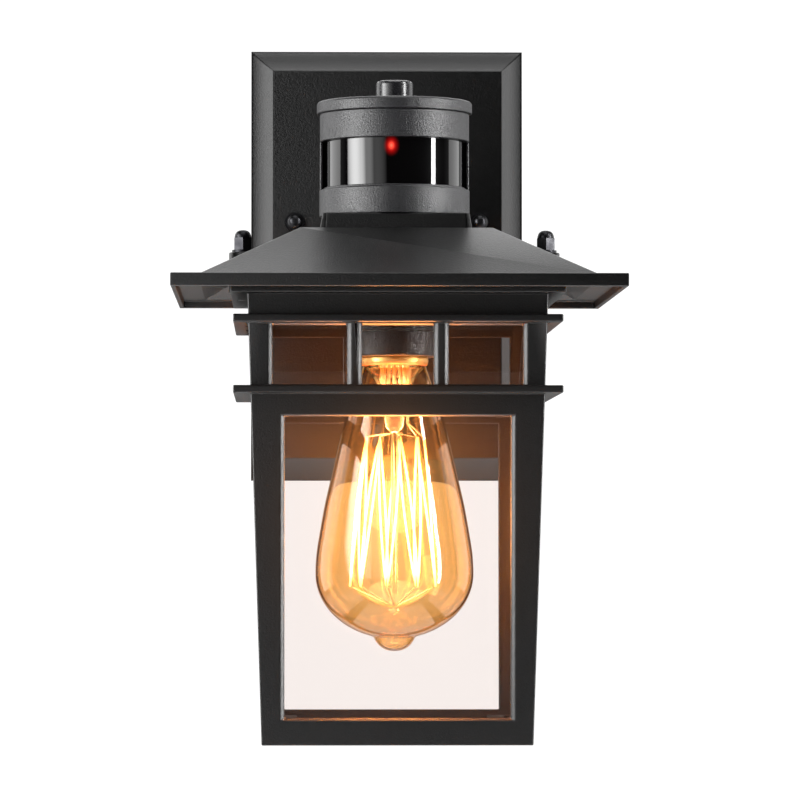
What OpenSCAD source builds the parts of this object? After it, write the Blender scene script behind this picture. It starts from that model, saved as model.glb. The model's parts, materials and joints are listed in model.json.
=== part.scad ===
/* [Wall plate] */
// Distance from the wall to the upright axis of the lantern head
reach = 151; // [149:1:170]
// Width of the wall plate
plate_w = 117; // [112:1:130]
// Height of the wall plate
plate_h = 186; // [180:1:200]
// Height of the plate's top edge above its two nuts
plate_top = 75; // [72:1:82]
// Distance from the wall to the plate's flat front
plate_depth = 22; // [22:0.5:26]
// Width of the sloping border, seen from the front
plate_border = 9; // [8:0.5:11]
// Depth of the straight rim behind the sloping border
plate_rim = 7; // [4:0.5:9]
// Metal thickness of the plate
plate_skin = 2; // [1.6:0.1:2.4]
// Distance between the plate's two nuts
plate_nut_pitch = 80; // [78:1:84]
// Thickness of the wall gasket
gasket_t = 1.5; // [1:0.25:2]

/* [Bracket] */
// Distance between the centres of the bracket's two slots
slot_pitch = 82; // [80:1:86]
// Length of each slot, end to end
slot_l = 18; // [12:1:20]
// Width of each slot
slot_w = 4.8; // [4:0.2:5.2]
// Thickness of the bracket's steel
bracket_t = 2; // [1.6:0.1:2.2]

/* [Roof] */
// Width of the roof across its eaves
roof_w = 178; // [172:1:184]
// Width of the flat rim round the roof
roof_rim = 10.5; // [8:0.5:13]
// Width of the roof's flat top
roof_top_w = 76.8; // [72:0.2:82]
// Height of the bottom of the eaves
roof_bottom = -39.2; // [-40:0.1:-38.6]
// Height of the upright edge round the roof
roof_edge = 5.2; // [4.5:0.1:5.2]
// Height of the roof's flat top
roof_top = -13.2; // [-14:0.1:-13]
// Metal thickness of the roof
roof_skin = 2; // [1.6:0.1:2.2]
// Distance between the two roof nuts
roof_nut_pitch = 123; // [121:0.5:124]

/* [Cage] */
// Height of the top of the cage's flange
cage_top = -37.4; // [-37.6:0.1:-37.2]
// Height of the bottom of the cage
cage_bottom = -218.5; // [-230:0.5:-215]
// Width of the cage just under its flange
cage_top_w = 118.6; // [117:0.2:120]
// Width of the cage at its bottom
cage_bottom_w = 107.2; // [106:0.2:110]
// Metal thickness of the cage
cage_wall = 3.5; // [3:0.1:3.6]
// Width of the flange under the roof
flange_w = 132; // [131:0.5:134]
// Width of the two ledges
ledge_w = 129.8; // [126:0.2:134]
// Thickness of the flange and of each ledge
ledge_t = 3; // [2.4:0.1:3.4]
// Width of a main window at the outer face
window_w = 92.6; // [86:0.2:94]
// Width of the three small windows of one side, together
band_w = 102.2; // [98:0.2:104]
// Width of the outer face of a mullion
mullion_w = 2.5; // [2:0.1:4]
// Width of the chamfer down each side of a window
window_chamfer = 1.7; // [0.5:0.1:2]
// Thickness of the glass panes
pane_t = 3; // [2:0.1:3]

/* [Socket and bulb] */
// Radius of the socket cup
socket_r = 18.5; // [18:0.1:20]
// Largest radius of the bulb
bulb_r = 32; // [30:0.5:34]
// Radius of the bulb's cap over its thread
cap_r = 13.2; // [13.1:0.05:13.3]
// Number of hooks that hold the filament at each end
filament_hooks = 9; // [5:1:11]

/* [Motion sensor] */
// Radius of the sensor's base ring
sensor_r = 30.5; // [30.3:0.1:31]
// Radius of the dark lens
lens_r = 27.8; // [27.4:0.1:27.8]
// Radius of the sensor's cap
sensor_cap_r = 31.5; // [31.2:0.1:33]
// Height of the top of the cap
sensor_top_z = 40.2; // [40:0.1:41]
// Radius of the mode button
button_r = 7.5; // [6.5:0.1:7.6]
// Height of the top of the mode button
button_top = 48.9; // [46:0.1:50]

/* [Hidden] */
$fn = 96;
cut = 1;          // how far a cutting shape runs past the face it cuts
gap = 0.3;        // clearance between pieces that slide past each other
steel = "silver";
coat = "#242526";
grey_coat = "#4a4b4d";
brass = "#c9a24a";
smoke = "#111113";
clear = [0.85, 0.92, 0.95, 0.35];

// M4 fixings: shank, hexagon and washer
m4_r = 1.95;
m4_hole_r = 2.0;
hex_r = 7 / sqrt(3);
washer_t = 1;

// Wall plate
plate_mid = plate_top - plate_h / 2;
rim_front = gasket_t + plate_rim;
cove_bend = [5, rim_front + 5];       // where the border turns from a shallow slope to a steep one
cove_low = atan2(cove_bend.y - rim_front, cove_bend.x);
cove_high = atan2(plate_depth - cove_bend.y, plate_border - cove_bend.x);
gasket_w = 4;

// Arm: a tube from the plate to the roof's inside, with a tongue that the nipple clamps
arm_w = 28;
arm_h = 16;
arm_top = roof_top - roof_skin;
arm_mid = arm_top - arm_h / 2;
arm_wall = 2;
arm_end = reach - 33;
tongue_w = 20;
tongue_t = 2.5;
arm_flange_w = 44;
arm_flange_h = 26;
arm_flange_t = 3;
arm_screw_pitch = 36;
wire_hole_r = 6;

// Bracket: its side arms stand away from the wall, in front of the stud heads
bracket_arm_w = 20;
bracket_half = 48;
bracket_half_h = 53;
bracket_flat = 14;
bracket_step = 22;
stand_off = 6;
ground_x = 28;

// Roof
rim_top = roof_bottom + roof_edge;
slope_base = roof_w / 2 - roof_rim;
roof_slope = (slope_base - roof_top_w / 2) / (roof_top - rim_top);
slope_inset = roof_skin * sqrt(1 + roof_slope * roof_slope);
pad_r = 5.6;
pad_top = -20.9;
wire_pass = [17, 8];
wire_pass_r = 4;

// Cage
body_top = cage_top - ledge_t;
cage_lean = (cage_top_w - cage_bottom_w) / 2 / (body_top - cage_bottom);
cage_tilt = atan(cage_lean);
ledge_tops = [-48.8, -76.8];
window_top = -88.3;
window_bottom = -208.7;
chamfer_depth = 1.2;
head_draft = 0.7;
sill_draft = 1;
lip_top = -215.5;
lip_half = 44;
mullion_x = 17.1;
pane_top = -44;
pane_gap = 0.3;
pane_edge = 8.2;
clip_heights = [-84, -212.4];
clip_l = 9.4;
clip_h = 5;
clip_t = 0.8;
clip_back = 5.5;
clip_web = 3.6;
boss_reach = 5;

// Nipple and socket
nipple_r = 5;
nipple_bore = 3.6;
nipple_hole = 5.2;
nipple_top = 0;
nipple_nut_r = 14 / sqrt(3);
nipple_nut_t = 3.5;
cup_top = -28;
cup_wall = 1.5;
cup_floor = 2;
cup_seam = -53.1;
mouth = -63.3;
nipple_bottom = cup_top - cup_floor - nipple_nut_t;
insulator_top = -36.2;
insulator_r = 16.8;
shell_r = cap_r + 0.4;

// Bulb
contact_top = -40.4;
cap_bottom = -66.9;
collar_r = 13.6;
glass_t = 0.9;
widest = -151;
dome_h = 26.5;
filament_top = [12, -96];
filament_bottom = [18, -156];
stem_end = -92;
rod_end = -165;
wire_r = 0.35;

// Sensor
plinth_w = 61;
plinth_top_w = 59;
plinth_corner = 2.2;
plinth_top = -6.5;
base_top = 4.2;
base_floor = 2;
lens_lip = 1;
hood_top = 24;
top_ring_r = sensor_r - 0.2;
top_ring_top = 35.3;
cap_under = 37.3;
spigot = 2;
ring_in = lens_r + 0.1;
button_travel = 2;
button_flange_r = 8.8;
board_y = -12;
board_t = 1.6;
board_top = 25;
switch_z = board_top + board_t;
screw_x = 20;

// Each lead is a smooth curve through points chosen along its way
lead_r = 0.9;
line_route = [
    [-20, -11, -66], [-20, -11, -56], [-17, -12, -42], [-8, -15, -28], [-3, -22, -24], [-3, -40, -24],
    [-3, -80, -24], [-2, -112, -23.5], [6, -128, -23], [14, -138, -22], [15.5, -143, -18],
    [15.5, -143, -12], [15.5, -143, -4], [12, -143.5, 0], [5.5, -147, 2], [4.6, -154, 4], [4.6, -161.2, 4]
];
neutral_route = [
    [0, -11, -66], [0, -11, -56], [0, -12, -42], [0, -15, -30], [3, -22, -22], [3, -40, -22],
    [3, -80, -22], [4, -112, -22], [11, -127, -22], [17, -136, -21], [18.5, -143, -17],
    [18.5, -143, -12], [18.5, -143, -4], [16, -142, 3], [6.5, -145, 8], [5.4, -151, 9], [5.4, -161.2, 9]
];
ground_route = [
    [28, -11.4, 0], [29, -12, -7], [27, -13, -24], [22, -12, -44], [20, -11, -56], [20, -11, -66]
];
live_route = [
    [-1.8, -161.2, 10], [-1.8, -157, 10], [-1.8, -153.4, 6], [-1.6, -152.6, 0], [-1.6, -152.6, -20],
    [-1.4, -152, -31], [-0.6, -151.2, -35], [0, -151, -38]
];
return_route = [
    [1.2, -161.2, 14], [1.2, -157, 14], [1.4, -152, 9], [1.6, -149.6, 1], [1.6, -149.6, -18],
    [1.5, -149.6, -31], [1.7, -149.8, -33.4], [3.4, -150.2, -34.85], [8.5, -150.8, -35.05],
    [12, -151, -35.1], [13.1, -151, -36.2], [13.2, -151, -39.5]
];

function cage_half(z) = cage_top_w / 2 - (body_top - z) * cage_lean;
function unit(v) = v / norm(v);
// Where the plate's inside face bends, under a bend of its outside from angle a to angle b
function inner_bend(p, a, b) = p + plate_skin / cos((a - b) / 2) * [sin((a + b) / 2), -cos((a + b) / 2)];

// Catmull-Rom curve through a list of points, with a number of steps between each two
function curve_at(a, b, c, d, t) =
    0.5 * (2 * b + (c - a) * t + (2 * a - 5 * b + 4 * c - d) * t * t + (3 * b - a - 3 * c + d) * t * t * t);
function curve(p, steps) = let (last = len(p) - 1) [
    for (i = [0 : last - 1], s = [0 : steps - 1])
        curve_at(p[max(i - 1, 0)], p[i], p[i + 1], p[min(i + 2, last)], s / steps),
    p[last]
];

// A round tube swept along points, its rings turned about a side direction
module swept(points, r, side, sides = 8) {
    last = len(points) - 1;
    rings = [for (i = [0 : last])
        let (
            along = unit(points[min(i + 1, last)] - points[max(i - 1, 0)]),
            u = unit(cross(along, side)),
            v = cross(along, u)
        )
        for (k = [0 : sides - 1]) points[i] + r * (cos(360 * k / sides) * u + sin(360 * k / sides) * v)
    ];
    walls = [for (i = [0 : last - 1], k = [0 : sides - 1])
        let (n = (k + 1) % sides) [i * sides + k, (i + 1) * sides + k, (i + 1) * sides + n, i * sides + n]
    ];
    start = [for (k = [0 : sides - 1]) k];
    finish = [for (k = [sides - 1 : -1 : 0]) last * sides + k];
    polyhedron(points = rings, faces = concat([start, finish], walls), convexity = 6);
}

// A straight rod between two points
module rod(a, b, r) {
    d = b - a;
    translate(a) rotate([0, acos(d.z / norm(d)), atan2(d.y, d.x)]) cylinder(r = r, h = norm(d), $fn = 16);
}

// A block with four flat sloping sides, w1 wide at z1 and w2 wide at z2
module frustum(w1, d1, z1, w2, d2, z2) {
    intersection() {
        rotate([90, 0, 0]) linear_extrude(height = 2 * max(d1, d2), center = true)
            polygon([[-w1 / 2, z1], [w1 / 2, z1], [w2 / 2, z2], [-w2 / 2, z2]]);
        rotate([90, 0, 90]) linear_extrude(height = 2 * max(w1, w2), center = true)
            polygon([[-d1 / 2, z1], [d1 / 2, z1], [d2 / 2, z2], [-d2 / 2, z2]]);
    }
}

module block(w, d, z1, z2) {
    translate([-w / 2, -d / 2, z1]) cube([w, d, z2 - z1]);
}

module tube(r_out, r_in, z1, z2) {
    rotate_extrude() translate([r_in, z1]) square([r_out - r_in, z2 - z1]);
}

// Turns children so that their Z points out from the wall and their Y up
module out_from_wall(x, z, y = 0) {
    translate([x, -y, z]) rotate([90, 0, 0]) children();
}

// Places children on the upright axis of the lantern head
module at_head() {
    translate([0, -reach, 0]) children();
}

module both_sides(x) {
    for (s = [-1, 1]) translate([s * x, 0, 0]) children();
}

// Places children on the outer face of one cage wall, Y pointing inwards
module on_wall(z) {
    translate([0, -cage_half(z), z]) rotate([cage_tilt, 0, 0]) children();
}

module hex_nut(r_hex, t, r_hole) {
    difference() {
        cylinder(r = r_hex, h = t, $fn = 6);
        translate([0, 0, -cut]) cylinder(r = r_hole, h = t + 2 * cut);
    }
}

// A domed nut, closed at the top, with a hexagon below
module cap_nut(hex_h, total_h) {
    dome_r = hex_r * 0.84;
    difference() {
        union() {
            cylinder(r = hex_r, h = hex_h, $fn = 6);
            rotate_extrude() polygon(concat([[0, 0], [dome_r, 0]], [
                for (a = [0 : 7.5 : 90]) [dome_r * pow(cos(a), 0.7), hex_h + (total_h - hex_h) * sin(a)]
            ]));
        }
        translate([0, 0, -cut]) cylinder(r = m4_hole_r, h = total_h - 1.6 + cut);
    }
}

// ---- Wall side ----

// The wall plate's outside, or its hollow, through the bends of its border
module plate_shape(bends, back) {
    sides = [for (b = bends) [plate_w - 2 * b.x, plate_h - 2 * b.x, b.y]];
    block(sides[0].x, sides[0].y, back, sides[0].z + 0.001);
    for (i = [0, 1])
        frustum(sides[i].x, sides[i].y, sides[i].z, sides[i + 1].x, sides[i + 1].y, sides[i + 1].z);
}

module backplate() {
    color(coat) difference() {
        out_from_wall(0, plate_mid) difference() {
            plate_shape([[0, rim_front], cove_bend, [plate_border, plate_depth]], gasket_t);
            plate_shape([
                inner_bend([0, rim_front], 90, cove_low),
                inner_bend(cove_bend, cove_low, cove_high),
                inner_bend([plate_border, plate_depth], cove_high, 0)
            ], 0);
        }
        both_sides(plate_nut_pitch / 2) out_from_wall(0, 0)
            cylinder(r = 2.3, h = plate_depth + cut);
        out_from_wall(0, arm_mid) cylinder(r = wire_hole_r, h = plate_depth + cut);
        both_sides(arm_screw_pitch / 2) out_from_wall(0, arm_mid)
            cylinder(r = 2.2, h = plate_depth + cut);
    }
}

module wall_gasket() {
    color("#3a3a3a") out_from_wall(0, plate_mid) difference() {
        block(plate_w, plate_h, 0, gasket_t);
        block(plate_w - 2 * gasket_w, plate_h - 2 * gasket_w, -cut, gasket_t + cut);
    }
}

module slot_hole() {
    r = slot_w / 2;
    run = slot_l - slot_w;
    out_from_wall(0, 0, -cut) {
        for (s = [-1, 1]) translate([0, s * run / 2, 0]) cylinder(r = r, h = bracket_t + 2 * cut);
        translate([-r, -run / 2, 0]) cube([slot_w, run, bracket_t + 2 * cut]);
    }
}

module mounting_bracket() {
    t = bracket_t;
    half = [
        [0, 0], [bracket_flat, 0], [bracket_step, -stand_off], [bracket_half, -stand_off],
        [bracket_half, -stand_off - t], [bracket_step - 1, -stand_off - t], [bracket_flat - 1, -t], [0, -t]
    ];
    color(steel) difference() {
        union() {
            for (s = [0, 1]) mirror([s, 0, 0]) translate([0, 0, -bracket_arm_w / 2])
                linear_extrude(height = bracket_arm_w) polygon(half);
            translate([-bracket_arm_w / 2, -t, -bracket_half_h])
                cube([bracket_arm_w, t, 2 * bracket_half_h]);
        }
        for (s = [-1, 1]) translate([0, 0, s * slot_pitch / 2]) slot_hole();
        both_sides(plate_nut_pitch / 2) out_from_wall(0, 0, stand_off - cut)
            cylinder(r = m4_hole_r, h = t + 2 * cut);
        out_from_wall(ground_x, 0, stand_off - cut) cylinder(r = m4_hole_r, h = t + 2 * cut);
    }
}

module bracket_studs() {
    color(steel) both_sides(plate_nut_pitch / 2) out_from_wall(0, 0) {
        translate([0, 0, stand_off - 2.8]) cylinder(r = 3.5, h = 2.8);
        translate([0, 0, stand_off - 0.5]) cylinder(r = m4_r, h = plate_depth + 5 - stand_off);
    }
}

module bracket_nuts() {
    color(steel) both_sides(plate_nut_pitch / 2) out_from_wall(0, 0, stand_off + bracket_t)
        hex_nut(hex_r, 3.2, m4_hole_r);
}

module plate_washers() {
    color(smoke) both_sides(plate_nut_pitch / 2) out_from_wall(0, 0)
        tube(4.4, 2.15, plate_depth, plate_depth + washer_t);
}

module plate_cap_nuts() {
    color(smoke) both_sides(plate_nut_pitch / 2) out_from_wall(0, 0, plate_depth + washer_t)
        cap_nut(4, 8);
}

module ground_screw() {
    color("green") out_from_wall(ground_x, 0) {
        translate([0, 0, 1.5]) cylinder(r = m4_r, h = stand_off + bracket_t);
        translate([0, 0, stand_off + bracket_t]) cylinder(r = 3.8, h = 2.4);
    }
}

module wire_connectors() {
    for (i = [0 : 2]) color(i == 2 ? "green" : "goldenrod") translate([20 * (i - 1), -11, -77])
        rotate_extrude() polygon([[0, 0], [2.6, 0], [3.2, 1.2], [4.8, 17], [2.2, 17], [1.6, 8], [0, 7]]);
}

module line_lead() { color("#1d1d1f") swept(curve(line_route, 4), lead_r, [1, 0.25, -0.35]); }
module neutral_lead() { color("#e9e7e0") swept(curve(neutral_route, 4), lead_r, [1, 0.25, -0.35]); }
module ground_lead() { color("#2f7a3c") swept(curve(ground_route, 4), lead_r, [1, 0.9, 0.2]); }

module arm() {
    color(coat) difference() {
        union() {
            translate([-arm_w / 2, -arm_end, arm_mid - arm_h / 2])
                cube([arm_w, arm_end - plate_depth, arm_h]);
            out_from_wall(0, arm_mid) block(arm_flange_w, arm_flange_h, plate_depth, plate_depth + arm_flange_t);
            translate([-tongue_w / 2, -reach - 14, arm_top - tongue_t])
                cube([tongue_w, reach + 14 - arm_end + 2, tongue_t]);
        }
        translate([-arm_w / 2 + arm_wall, -arm_end - cut, arm_mid - arm_h / 2 + arm_wall])
            cube([arm_w - 2 * arm_wall, arm_end - plate_depth + 2 * cut, arm_h - arm_wall - tongue_t]);
        both_sides(arm_screw_pitch / 2) out_from_wall(0, arm_mid, plate_depth - cut)
            cylinder(r = m4_hole_r, h = arm_flange_t + 2 * cut);
        at_head() translate([0, 0, arm_top - tongue_t - cut])
            cylinder(r = nipple_hole, h = tongue_t + 2 * cut);
    }
}

module arm_screws() {
    color(steel) both_sides(arm_screw_pitch / 2) out_from_wall(0, arm_mid) {
        translate([0, 0, plate_depth - plate_skin - 2.4]) cylinder(r = 3.5, h = 2.4);
        translate([0, 0, plate_depth - plate_skin - 0.5]) cylinder(r = m4_r, h = 6);
    }
}

// ---- Roof ----

module roof() {
    inner_base = slope_base * 2 + 2 * roof_slope * roof_skin - 2 * slope_inset;
    inner_top = inner_base - 2 * roof_slope * (roof_top - rim_top);
    color(coat) at_head() difference() {
        union() {
            difference() {
                union() {
                    block(roof_w, roof_w, roof_bottom, rim_top);
                    frustum(slope_base * 2, slope_base * 2, rim_top, roof_top_w, roof_top_w, roof_top);
                }
                block(roof_w - 2 * roof_skin, roof_w - 2 * roof_skin, roof_bottom - cut, rim_top - roof_skin);
                frustum(inner_base, inner_base, rim_top - roof_skin - 0.001,
                    inner_top, inner_top, roof_top - roof_skin);
            }
            both_sides(roof_nut_pitch / 2) translate([0, 0, cage_top]) cylinder(r = pad_r, h = pad_top - cage_top);
        }
        both_sides(roof_nut_pitch / 2) {
            translate([0, 0, pad_top]) cylinder(r = pad_r, h = 12);
            translate([0, 0, cage_top - cut]) cylinder(r = 2.25, h = 30);
        }
        translate([0, 0, roof_top - 2 * roof_skin]) cylinder(r = nipple_hole, h = 3 * roof_skin);
        translate([wire_pass.x, wire_pass.y, roof_top - 2 * roof_skin]) cylinder(r = wire_pass_r, h = 3 * roof_skin);
        translate([-arm_w / 2 - gap, reach - arm_end, arm_mid - arm_h / 2 - gap])
            cube([arm_w + 2 * gap, arm_end, arm_h + gap]);
    }
}

module roof_grommet() {
    color("#2b2b2b") at_head() translate([wire_pass.x, wire_pass.y, roof_top]) difference() {
        union() {
            tube(wire_pass_r, 2.8, -roof_skin, 0);
            tube(wire_pass_r + 1.4, 2.8, 0, 1);
            tube(wire_pass_r + 1.4, 2.8, -roof_skin - 1, -roof_skin);
        }
    }
}

module threaded_nipple() {
    color(steel) at_head() tube(nipple_r, nipple_bore, nipple_bottom, nipple_top);
}

module nipple_nuts() {
    bottoms = [
        plinth_top + base_floor, arm_top - tongue_t - nipple_nut_t, cup_top, nipple_bottom
    ];
    color(steel) at_head() for (z = bottoms) translate([0, 0, z])
        hex_nut(nipple_nut_r, nipple_nut_t, nipple_r + 0.05);
}

module cage_studs() {
    color(steel) at_head() both_sides(roof_nut_pitch / 2) translate([0, 0, body_top])
        cylinder(r = m4_r, h = pad_top + washer_t + 5 - body_top);
}

module roof_washers() {
    color(smoke) at_head() both_sides(roof_nut_pitch / 2) tube(4.4, 2.15, pad_top, pad_top + washer_t);
}

module roof_cap_nuts() {
    color(smoke) at_head() both_sides(roof_nut_pitch / 2) translate([0, 0, pad_top + washer_t])
        rotate([0, 0, 30]) cap_nut(4.9, 8.1);
}

// ---- Cage and glass ----

// A cutter for one window of a wall, in that wall's own frame: narrower inside than outside
module window_cut(x1, x2, z1, z2, side, head, sill) {
    y1 = -cut;
    y2 = cage_wall + cut;
    function widen(amount, y) = amount * (1 - y / cage_wall);
    splay = side * (1 - y1 / chamfer_depth);
    intersection() {
        translate([0, 0, z1 - 2]) linear_extrude(height = z2 - z1 + 4) polygon([
            [x1 + side - splay, y1], [x2 - side + splay, y1], [x2 - side, chamfer_depth],
            [x2 - side, y2], [x1 + side, y2], [x1 + side, chamfer_depth]
        ]);
        translate([x1 - 4, 0, 0]) rotate([90, 0, 90]) linear_extrude(height = x2 - x1 + 8) polygon([
            [y1, z1 - widen(sill, y1) + sill], [y1, z2 + widen(head, y1) - head],
            [y2, z2 + widen(head, y2) - head], [y2, z1 - widen(sill, y2) + sill]
        ]);
    }
}

module wall_windows() {
    middle = (window_top + window_bottom) / 2;
    on_wall(middle) window_cut(-window_w / 2, window_w / 2, window_bottom - middle, window_top - middle,
        window_chamfer, head_draft, sill_draft);
    low = ledge_tops[1];
    high = ledge_tops[0] - ledge_t;
    half_face = mullion_w / 2;
    edges = [-band_w / 2, -mullion_x - half_face, -mullion_x + half_face,
        mullion_x - half_face, mullion_x + half_face, band_w / 2];
    on_wall(low) for (i = [0 : 2])
        window_cut(edges[2 * i], edges[2 * i + 1], 0, high - low, window_chamfer, 1.4, 0);
}

// A small fill in each inner corner of the cage, which holds a clip's web
module corner_bosses() {
    for (z = clip_heights, a = [0 : 90 : 270]) {
        far = cage_half(z) - boss_reach + 2;
        near = cage_half(z) - boss_reach - 2;
        rotate([0, 0, a]) translate([0, 0, z - clip_h / 2]) linear_extrude(height = clip_h)
            polygon([[far, far], [far, near], [near, far]]);
    }
}

module cage_frame() {
    outer_top = cage_top_w;
    inset = 2 * cage_wall / cos(cage_tilt);
    color(coat) at_head() difference() {
        union() {
            difference() {
                union() {
                    frustum(cage_bottom_w, cage_bottom_w, cage_bottom, outer_top, outer_top, body_top);
                    block(flange_w, flange_w, body_top, cage_top);
                    for (z = ledge_tops) block(ledge_w, ledge_w, z - ledge_t, z);
                }
                frustum(cage_bottom_w - inset, cage_bottom_w - inset, cage_bottom - 0.001,
                    outer_top - inset, outer_top - inset, body_top);
                block(outer_top - inset, outer_top - inset, body_top - 0.001, cage_top + cut);
            }
            difference() {
                block(cage_bottom_w - 2, cage_bottom_w - 2, cage_bottom, lip_top);
                block(2 * lip_half, 2 * lip_half, cage_bottom - cut, lip_top + cut);
            }
            corner_bosses();
        }
        for (a = [0 : 90 : 270]) rotate([0, 0, a]) wall_windows();
        both_sides(roof_nut_pitch / 2) translate([0, 0, body_top - cut])
            cylinder(r = m4_hole_r, h = ledge_t + 2 * cut);
        at_corners(boss_reach + 0.2) translate([0, -clip_t / 2 - 0.05, -clip_h / 2 - 0.1])
            cube([1.6, clip_t + 0.1, clip_h + 0.2]);
    }
}

// One pane behind one wall, from the bottom lip to just under the flange
module pane(turn) {
    tall = (pane_top - lip_top) / cos(cage_tilt) - pane_gap;
    half_low = cage_half(lip_top) - pane_edge;
    half_top = cage_half(pane_top) - pane_edge;
    color(clear) at_head() rotate([0, 0, turn]) on_wall(lip_top)
        translate([0, cage_wall + pane_gap + pane_t, pane_gap]) rotate([90, 0, 0])
        linear_extrude(height = pane_t)
        polygon([[-half_low, 0], [half_low, 0], [half_top, tall], [-half_top, tall]]);
}

module glass_front() { pane(0); }
module glass_right() { pane(90); }
module glass_back() { pane(180); }
module glass_left() { pane(270); }

// Places children in each inner corner of the cage, X pointing out through the corner
module at_corners(inset) {
    for (z = clip_heights, a = [45 : 90 : 315])
        translate([0, 0, z]) rotate([0, 0, a]) translate([(cage_half(z) - inset) * sqrt(2), 0, 0]) children();
}

// Each clip bears on two panes, and its web is pressed into a slot in the corner's boss
module glass_clips() {
    color(coat) at_head() at_corners(cage_wall + pane_gap + pane_t) translate([-clip_back, 0, 0]) {
        translate([-clip_t / 2, -clip_l / 2, -clip_h / 2]) cube([clip_t, clip_l, clip_h]);
        translate([0, -clip_t / 2, -clip_h / 2]) cube([clip_back + clip_web, clip_t, clip_h]);
        for (s = [-1, 1]) translate([0, s * clip_l / 2, 0]) cylinder(r = clip_t / 2, h = clip_h, center = true);
    }
}

// ---- Socket and bulb ----

module socket_cup() {
    color(grey_coat) at_head() rotate_extrude() polygon([
        [nipple_hole, cup_top - cup_floor], [nipple_hole, cup_top], [socket_r - 1.5, cup_top],
        [socket_r - 0.4, cup_top - 0.5], [socket_r, cup_top - 1.6], [socket_r, cup_seam],
        [socket_r - cup_wall, cup_seam], [socket_r - cup_wall, cup_top - cup_floor]
    ]);
}

module socket_skirt() {
    color(grey_coat) at_head() rotate_extrude() polygon([
        [socket_r - cup_wall, cup_seam - 0.2], [socket_r, cup_seam - 0.2], [socket_r, mouth + 0.4],
        [socket_r - 0.4, mouth], [cap_r + 1.1, mouth], [cap_r + 1.1, mouth + 2], [socket_r - cup_wall, mouth + 2]
    ]);
}

module socket_insulator() {
    floor_z = insulator_top - 2;
    color("#e6e0d2") at_head() difference() {
        union() {
            tube(insulator_r, shell_r + 0.6, mouth + 2.2, floor_z);
            tube(insulator_r, 1.4, floor_z, insulator_top);
        }
        translate([cap_r, 0, floor_z - cut]) cylinder(r = 1.4, h = 2 + 2 * cut);
    }
}

module screw_shell() {
    color(brass) at_head() tube(shell_r + 0.5, shell_r, mouth + 2.6, contact_top);
}

module centre_contact() {
    floor_z = insulator_top - 2;
    profile = [
        [-6, 0], [2, 0], [4.4, -1.2], [-2.4, -1.9], [-2.4, -1.5], [2.4, -1.1], [1.6, -0.4], [-6, -0.4]
    ];
    color(brass) at_head() translate([0, 2.5, floor_z]) rotate([90, 0, 0])
        linear_extrude(height = 5) polygon(profile);
}

module socket_live_lead() { color("#b3342d") swept(curve(live_route, 4), lead_r, [1, 0.05, -0.1]); }
module socket_neutral_lead() { color("#e9e7e0") swept(curve(return_route, 4), lead_r, [0.1, 1, 0.15]); }

// Half outline of the bulb's glass from its neck to its tip
neck_outline = [
    [12.9, -64.5], [13, -67], [14.8, -72.6], [20.2, -88.8], [25.9, -113], [30.4, -135], [bulb_r, widest]
];
tip_outline = [[8.4, -176.8], [6.6, -178.6], [4.6, -181], [2.4, -182.2], [0, -182.4]];
dome_outline = [for (a = [12 : 12 : 72]) [bulb_r * cos(a), widest - dome_h * sin(a)]];
bulb_outline = concat(curve(neck_outline, 4), dome_outline, tip_outline);

module bulb_glass() {
    inner = [for (p = bulb_outline) [max(p.x - glass_t, 0), p.y + (p.y < widest ? glass_t * (widest - p.y) / 30 : 0)]];
    shell = [for (i = [len(inner) - 1 : -1 : 0]) inner[i]];
    color([0.9, 0.6, 0.25, 0.4]) at_head() rotate_extrude() polygon(concat(bulb_outline, shell));
}

// The cap's brass wall, with a rounded thread of seven turns to the inch
module bulb_cap() {
    pitch = 25.4 / 7;
    first = -62;
    turns = 4;
    outer = [for (i = [0 : 8 * turns]) [cap_r - 0.35 - 0.35 * cos(45 * i), first + i * pitch / 8]];
    top = first + turns * pitch;
    bead = [for (a = [-60 : 20 : 60]) [collar_r - 0.9 + 1.1 * cos(a), cap_bottom + 2.15 + 2.3 * sin(a)]];
    profile = concat(
        [[cap_r - 1.9, cap_bottom + 2.8], [collar_r - 0.4, cap_bottom + 2.8], [collar_r - 0.4, cap_bottom]],
        bead, outer, [[11.4, top + 1.6], [7, top + 2.6], [7, top + 2.2], [11, top + 1.2], [cap_r - 1.9, top]]
    );
    color(brass) at_head() rotate_extrude() polygon(profile);
}

module bulb_insulator() {
    color(smoke) at_head() rotate_extrude()
        polygon([[1.5, -45.2], [7, -45.2], [7, -44.6], [4.6, -42], [3.6, -41.6], [1.5, -41.6]]);
}

module bulb_contact() {
    color(steel) at_head() rotate_extrude()
        polygon([[0, -45], [1.4, -45], [1.4, -41.5], [3.4, -41.5], [3, -40.8], [1.6, contact_top], [0, contact_top]]);
}

module bulb_stem() {
    color([0.85, 0.9, 0.92, 0.5]) at_head() {
        rotate_extrude() polygon([
            [11.6, -67], [11.8, -68], [9, -72], [5.4, -78], [4.4, -86], [3.4, stem_end], [1.4, stem_end - 2],
            [1.4, rod_end], [2.6, rod_end - 1], [0, rod_end - 3], [0, -80], [4, -76.5], [8, -71], [10.6, -67]
        ]);
        translate([0, 0, filament_top.y + 1.6]) rotate_extrude() translate([1.4, 0]) circle(r = 1.5, $fn = 24);
    }
}

function hook(end, i) = [
    end[0] * cos(360 * i / filament_hooks), end[0] * sin(360 * i / filament_hooks), end[1]
];

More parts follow.
